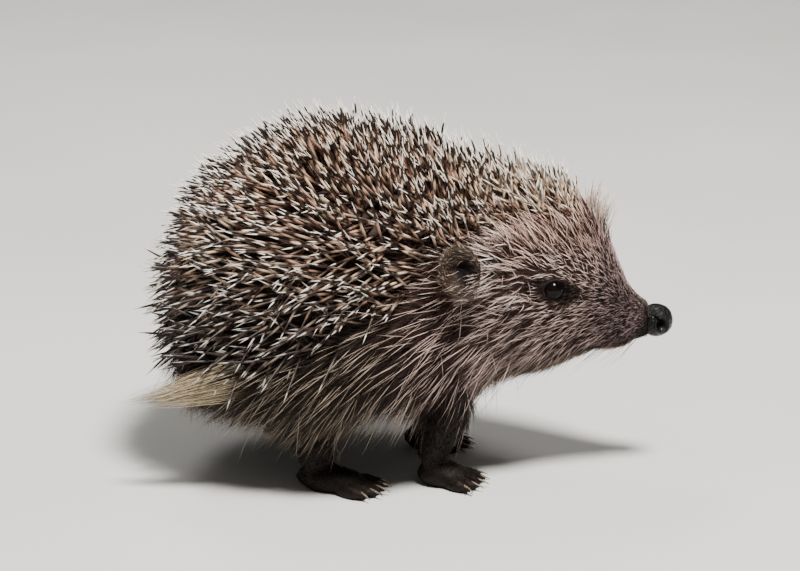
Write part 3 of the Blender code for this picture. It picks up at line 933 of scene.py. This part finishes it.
shaft = np.array(SHAFT_CREAM) * rng.normal(1, 0.18, count)[:, None]
rosy = (rng.random(count) < 0.4 - 0.25 * to_brow)[:, None]
# Painted shade: spines lower on the flanks get darker shafts and dimmer white points.
shade = (0.11 + 0.89 * smooth(height, 48, 86))[:, None]
shaft = np.where(rosy, shaft * np.array(ROSY_SHARE), shaft)
shaft = shaft * (1 + to_brow[:, None] * np.array(BROW_PALER))
spines["root_colour"] = np.clip(shaft * shade, 0.03, 0.92)
spines["tip_colour"] = np.array(POINT_WHITE) * (0.28 + 0.72 * shade)


def strand_places(start):
    """The Strand map, and read from it each strand's own tone and the place along the strand."""
    strand = start.node("ShaderNodeUVMap", {"uv_map": "Strand"})
    tone = start.node("ShaderNodeSeparateXYZ", inputs={0: strand})
    return strand, tone, start.node("ShaderNodeSeparateXYZ", inputs={0: strand}, output=1)


spine_finish, start, shader = finish("spine_horn", 0.4, Specular_IOR_Level=0.4)
strand, tone, along = strand_places(start)
cream, white = start.painted("root_colour"), start.painted("tip_colour")
shifted = along + tone * 0.07
band = shifted.between(0.56, 0.68) - shifted.between(0.83, 0.89)
streak = strand.speckle(30.0, 2.0)
# Painted shade: each shaft is darkened from its root to about half its length, down among the others.
body = along.between(0.28, 0.52).mix(cream.tinted((0.12, 0.10, 0.09, 1)), cream)
body = shifted.between(0.65, 0.88).mix(body, white)
stained = streak.between(0.3, 0.7).mix((0.009, 0.004, 0.003, 1), (0.024, 0.010, 0.007, 1))
wear(shader, "Base Color", (band - band * tone.between(0.9, 1.9) * 0.4).mix(body, stained))
wear(shader, "Roughness", 0.34 + streak * 0.2)
SPINE_STOPS = ((0.0, 0.55), (0.12, 0.95), (0.42, 1.0), (0.68, 0.87), (0.84, 0.54), (0.93, 0.26))
by_side("spines", spines, (5, SPINE_STOPS, spine_finish, "spines"))

# ------------------------------------------------------------------------------------------ hair
# Coarse guard hair over a dark woolly underfur. It is short and flat on the face, longer behind the
# cheeks, and hangs as a long skirt in pointed locks along the flanks, below the last spines.

hair_finish, start, shader = finish("guard_hair", 0.5, Specular_IOR_Level=0.22)
strand, tone, along = strand_places(start)
change = (along + tone * 0.25).between(0.15, 0.70)
wear(shader, "Base Color", change.mix(start.painted("root_colour"), start.painted("tip_colour")))
wear(shader, "Roughness", 0.42 + strand.speckle(24.0, 2.0) * 0.2)
LONG = 3, ((0.0, 1.0), (0.35, 1.0), (0.72, 0.65)), hair_finish, "fur"
SHORT = 3, ((0.0, 1.0), (0.45, 0.9)), hair_finish, "fur"
WHISKER = 4, ((0.0, 1.0), (0.25, 0.9), (0.5, 0.75), (0.75, 0.5)), hair_finish, "fur"


def clumped(strands, rng, gap, share):
    """Draws the strands' tips together in locks, each about its own middle strand."""
    heads = spread_out(strands["root"], np.full(len(strands["root"]), gap * mm))
    tree = KDTree(len(heads))
    for n, head in enumerate(heads):
        tree.insert(strands["root"][head], n)
    tree.balance()
    nearest = heads[[tree.find(root)[1] for root in strands["root"]]]
    pull = (share * rng.uniform(0.1, 1.1, len(nearest)))[:, None]
    strands["tip"] = strands["tip"] + (strands["tip"][nearest] - strands["tip"]) * pull
    strands["bend"] = strands["bend"] + (strands["bend"][nearest] - strands["bend"]) * pull * 0.35
    return strands


def dressed(strands, rng, bright):
    """Gives strands their tones and the colours of the hide they stand on. The bright ones turn pale
    towards their ends and the rest are only a little paler there than at the root. Strands rooted low
    on the body are darkened as painted shade."""
    root, count = strands["root"], len(strands["root"])
    colours = markings(root, strands["normal"], strands["limb"], strands["ear"])
    colours = blended(colours, "eye_ring", np.maximum(eye_patch(strands["tip"]), eye_patch(strands["bend"])))
    patchy = np.array([noise.noise(Vector(point) * 140) for point in root])
    shade = (1 + 0.35 * patchy + rng.normal(0, 0.15, count)).clip(0.4, 1.8)[:, None]
    # Painted shade: hair rooted lower on the body is darkened, to 0.42 near the floor.
    shade = shade * np.interp(root[:, 2] * 1000, (12, 40, 66), (0.42, 0.62, 1.0))[:, None]
    dim = colours[:, 0] * 1.6 + colours[:, 1] * 0.015
    strands["root_colour"] = colours[:, 0] * shade
    strands["tip_colour"] = np.clip(np.where(bright[:, None], colours[:, 1], dim) * shade, 0, 0.97)
    strands["tone"] = rng.random(count)
    return strands


few = 1.0
STRAY_SHARE, SNOUT_PALE = 0.09, 0.26


def hair(rng, count, weight, length, radius, rise, droop, swing, pale):
    """Hairs rooted where the weight lets them. Length and thickness go by tables of millimetres
    ahead of the ears. They rise off the hide and swing aside by degrees, droop at their ends, and
    a share of them is pale."""
    strands = plant(rng, int(count * few), weight)
    root, normal = strands["root"], strands["normal"]
    count = len(root)
    ahead = body_place(root)[0]
    snout = smooth(ahead, 34, 46)
    pale_share = pale * (1 - 0.2 * smooth(-ahead, 5, 30)) * (1 - snout) + SNOUT_PALE * snout
    bright = rng.random(count) < pale_share
    under = smooth(-normal[:, 2], 0.1, 0.6)
    lean = lie(root, normal, smooth(strands["limb"], 0.2, 0.8))
    stray = rng.random(count) < STRAY_SHARE
    aside = rng.normal(0, swing, count) * np.where(stray, 2.2, 1.0)
    lean = swung(lean, normal, np.radians(aside))
    past_ear = smooth(off_nearer(ear, root) + 3 * smooth(ahead, 5, 9), 8, 13)
    clear = 0.45 + 0.55 * past_ear * smooth(off_nearer(eye, root), 2, 11)
    long = np.interp(ahead, *length) * rng.normal(1, 0.17, count).clip(0.5, 1.5) * clear * mm
    low = np.interp(root[:, 2] * 1000, (10, 24, 44), (0.40, 0.62, 1.0))
    below = np.where(ahead < 0, low * (1 + 0.2 * under), 1 + 0.6 * under * (1 - smooth(ahead, 22, 32)))
    long = long * np.where(bright, 1.15, 0.92) * below
    up = rise + rng.normal(0, 5, count) + np.where(bright, 5, 0) + np.where(stray, 14, 0) + 8 * under
    up = np.radians(up)
    first = raised(lean, normal, up)
    second = unit(raised(lean, normal, up * 0.3) - UP * (droop + 0.15 * under[:, None]))
    strands["bend"] = root + first * long[:, None] * 0.5
    strands["tip"] = strands["bend"] + second * long[:, None] * 0.5
    thick = np.interp(ahead, *radius) * np.where(bright, 1.65 - 0.35 * snout, 1.0)
    strands["radius"] = thick * rng.normal(1, 0.15, count).clip(0.6, 1.5) * mm
    return dressed(strands, rng, bright)


tri_ahead, _, tri_height = body_place(triangle_middle)
bare = smooth(triangle_ear, 0.2, 0.5)
on_legs = smooth(triangle_limb, 0.3, 0.7)
haired = (1 - in_hood) * (1 - bare) * (1 - on_legs)
lid_clear = np.ones(len(triangle_middle))
for side in SIDES:
    a, b, c = place_on(triangle_middle, eye[side], eye_axes(side))
    reach = np.hypot(a / LID_OPENING[0], b / LID_OPENING[1])
    limit = 1.0 + 0.2 * smooth(a, -1.0, 2.5)
    off_lids = np.where(c > -1.5, smooth(reach - limit, 0, 0.25), 1.0)
    lid_clear = np.minimum(lid_clear, off_lids)
over, within = above_lip(tri_ahead, tri_height)
lip_clear = 1 - (1 - smooth(np.abs(over), 0.5, 0.9)) * within

# Underfur: dark, dense and shorter, from the cheeks to the rump.
rng = np.random.default_rng(12)
behind = haired * (1 - smooth(tri_ahead, 12, 26))
underfur_length, underfur_radius = ((-90, -20, 0, 20), (11, 11.5, 9, 5.5)), ((-20, 20), (0.25, 0.16))
underfur = hair(rng, 10500, behind, underfur_length, underfur_radius, 24, 0.12, 14, 0.02)
by_side("underfur", clumped(underfur, rng, 3.5, 0.45), LONG)

# Guard hair of the flanks, shoulders and cheeks.
rng = np.random.default_rng(13)
weight = behind * (1 - 0.6 * smooth(-triangle_normal[:, 2], 0.5, 0.9))
guard_length, guard_radius = ((-90, -20, -4, 8, 24), (18, 19, 16, 12, 8.5)), ((-20, 20), (0.050, 0.050))
guard = hair(rng, 17000, weight, guard_length, guard_radius, 27, 0.13, 15, 0.11)
by_side("guard_hair", clumped(guard, rng, 2.6, 0.26), LONG)

# Face hair: fine, short and close.
rng = np.random.default_rng(14)
weight = haired * smooth(tri_ahead, 0, 13) * (1 - smooth(tri_ahead, 56, 58.5)) * lid_clear
weight = weight * np.interp(tri_ahead, (10, 40, 60), (1.0, 1.7, 3.2)) * lip_clear
face_length = ((4, 16, 27, 40, 50, 60), (9.5, 8.0, 6.2, 4.0, 1.9, 0.9))
face_radius = ((16, 34, 46, 60), (0.056, 0.044, 0.036, 0.030))
face = hair(rng, 46000, weight, face_length, face_radius, 22, 0.0, 16, 0.14)
over_root = above_lip(*body_place(face["root"])[::2])[0]
over_tip, within = above_lip(*body_place(face["tip"])[::2])
face = only(face, (over_root * over_tip > 0) | (within < 0.5))
by_side("face_hair", clumped(face, rng, 1.5, 0.2), SHORT)

# Bristles of the brow: between spine and hair, pale at their ends, where the hood thins out.
rng = np.random.default_rng(17)
weight = smooth(tri_ahead, 6, 14) * (1 - smooth(tri_ahead, 42, 48)) * smooth(tri_height, 70, 78) * (1 - bare)
weight = weight * (1 - 0.7 * in_hood)
bristle_length, bristle_radius = ((8, 30, 46), (12.5, 10.0, 5.5)), ((10, 46), (0.10, 0.06))
bristles = hair(rng, 1900, weight, bristle_length, bristle_radius, 33, 0.0, 15, 0.3)
by_side("brow_bristles", clumped(bristles, rng, 2.5, 0.25), LONG)

# Legs, feet and tail: short dark hair.
rng = np.random.default_rng(15)
weight = on_legs * smooth(triangle_middle[:, 2], 0.0012, 0.0025)
legs = hair(rng, 7500, weight, ((-90, 30), (3.6, 3.6)), ((-90, 30), (0.085, 0.085)), 20, 0.0, 12, 0.2)
low = legs["root"][:, 2] * 1000
shorten = np.interp(low, (0, 5, 16, 30), (0.28, 0.5, 1.0, 1.6))[:, None]
for key in ("bend", "tip"):
    legs[key] = legs["root"] + (legs[key] - legs["root"]) * shorten
by_side("leg_hair", legs, SHORT)

# Ears: a sparse pale down.
rng = np.random.default_rng(16)
down = hair(rng, 5200, bare, ((-90, 90), (5.0, 5.0)), ((-90, 90), (0.030, 0.030)), 16, 0.0, 16, 0.2)
by_side("ear_down", down, SHORT)


def lock(rng, count, centre, spread, tip, tip_spread, sag, radius, colour, gather):
    """A tuft: hairs rooted in a round patch of the hide that draw together towards one point, or stand
    side by side where little gathers them."""
    distance = np.linalg.norm(triangle_middle - centre, axis=1) * 1000
    strands = plant(rng, count, np.exp(-((distance / spread) ** 2)) * (distance < spread * 1.4))
    tips = tip + rng.normal(0, 1, (count, 3)) * np.array(tip_spread) * mm
    tips = tips + (strands["root"] - centre) * (1 - gather)
    tips = strands["root"] + (tips - strands["root"]) * rng.uniform(0.75, 1.05, count)[:, None]
    strands["tip"] = tips
    strands["bend"] = (strands["root"] + tips) / 2 + strands["normal"] * sag * mm
    strands["radius"] = rng.uniform(0.8, 1.2, count) * radius * mm
    dressed(strands, rng, rng.random(count) < 0.7)
    dark, light = np.array(COAT[colour])
    shade = rng.normal(1.0, 0.25, count).clip(0.5, 1.4)
    shade = (shade * np.where(rng.random(count) < 0.3, 0.15, 1.0))[:, None]
    strands["root_colour"], strands["tip_colour"] = dark * shade, np.clip(light * shade, 0, 0.97)
    return strands


# The cream lock low on the right flank, and the tuft that stands up on the brow.
rng = np.random.default_rng(18)
flank, flank_tip = np.array((-0.041, -0.040, 0.0400)), np.array((-0.0770, -0.045, 0.0295))
cream_lock = lock(rng, 330, flank, 6.0, flank_tip, (3.0, 0.8, 0.7), 4.0, 0.060, "cream", 0.90)
by_side("cream_lock", cream_lock, LONG)
brow = crown + forward * 0.042 - leftward * 0.001
brow[2] = 0.0815
brow_tip = brow + forward * 0.0015 + UP * 0.0110
tuft = lock(rng, 230, brow, 4.6, brow_tip, (3.2, 2.6, 1.6), 0.3, 0.075, "tuft", 0.1)
by_side("brow_tuft", clumped(tuft, rng, 1.8, 0.45), LONG)

# Long hairs from the cheek that lie across the front and the lobe of each ear.
rng = np.random.default_rng(20)
fringes = []
for side in SIDES:
    before_ear = ear[side] + (forward * 12.0 - UP * 1.0) * mm
    apart = np.linalg.norm(triangle_middle - before_ear, axis=1) + triangle_ear
    start_at = triangle_middle[np.argmin(apart)]
    end_at = ear[side] + ear_axes(side)[2] * 7.0 * mm - (UP * 2.8 + forward * 3.6) * mm
    fringes.append(lock(rng, 90, start_at, 4.6, end_at, (1.8, 0.8, 1.6), 2.6, 0.055, "cheek", 0.2))
fringe = {key: np.concatenate([group[key] for group in fringes]) for key in fringes[0]}
by_side("ear_fringe", fringe, LONG)

# Whiskers: long, stiff and thin, swept back and down from the sides of the snout.
rng = np.random.default_rng(19)
WHISKERS = 44
in_rows = 1 - smooth(np.abs(tri_height - 46), 2.5, 4)
whiskers = plant(rng, WHISKERS, smooth(tri_ahead, 34, 40) * (1 - smooth(tri_ahead, 53, 56)) * in_rows)
outward = whiskers["normal"]
lean = lie(whiskers["root"], outward, np.zeros(WHISKERS))
lean = swung(lean, outward, rng.normal(0, 0.25, WHISKERS))
long = rng.uniform(9, 19, WHISKERS)[:, None] * mm
first = raised(lean, outward, rng.normal(0.6, 0.1, WHISKERS))
second = unit(raised(lean, outward, np.full(WHISKERS, 0.2)) - UP * 0.4)
whiskers["bend"] = whiskers["root"] + first * long / 2
whiskers["tip"] = whiskers["bend"] + second * long / 2
whiskers["radius"] = rng.uniform(0.06, 0.09, WHISKERS) * mm
dressed(whiskers, rng, rng.random(WHISKERS) < 0.7)
by_side("whiskers", whiskers, WHISKER)

# ---------------------------------------------------------------------------------------- studio
# A plain pale floor with soft light from above and in front.

floor_finish, start, shader = finish("floor_paper", 0.9)
mottle = start.own_place().speckle(6.0, 2.0)
wear(shader, "Base Color", mottle.between(0.3, 0.7).mix((0.60, 0.59, 0.575, 1), (0.64, 0.63, 0.615, 1)))
maker = bmesh.new()
bmesh.ops.create_grid(maker, x_segments=8, y_segments=8, size=6.0)
floor = made_of("floor", maker, floor_finish)

world = bpy.data.worlds.new("studio")
world.use_nodes = True
world.node_tree.nodes["Background"].inputs["Color"].default_value = (1.0, 0.98, 0.95, 1.0)
world.node_tree.nodes["Background"].inputs["Strength"].default_value = 0.17
bpy.context.scene.world = world


def soft_light(name, place, target, size, power, colour):
    lamp = bpy.data.lights.new(name, "AREA")
    lamp.shape = "DISK"
    lamp.size = size
    lamp.energy = power
    lamp.color = colour
    made = added(name, lamp)
    made.location = place
    made.rotation_euler = (Vector(target) - Vector(place)).to_track_quat("-Z", "Y").to_euler()


heart = (Vector(solid_box[0]) + Vector(solid_box[1])) / 2
soft_light("key", (0.35, -0.46, 1.35), heart, 0.32, 57.0, (1.0, 0.97, 0.92))
soft_light("back", (-0.5, 0.6, 1.1), heart, 0.5, 6.0, (1.0, 0.98, 0.95))

AZIMUTH, ELEVATION, DISTANCE = math.radians(12.0), math.radians(16.0), 0.9
lens = bpy.data.cameras.new("camera")
lens.lens = 130.0
lens.sensor_width = 36.0
camera = added("camera", lens)
level = math.cos(ELEVATION)
towards = Vector((math.sin(AZIMUTH) * level, -math.cos(AZIMUTH) * level, math.sin(ELEVATION)))
looked_at = heart + Vector((-0.0046, 0.0, 0.0018))
camera.location = looked_at + towards * DISTANCE
camera.rotation_euler = (-towards).to_track_quat("-Z", "Y").to_euler()
bpy.context.scene.camera = camera
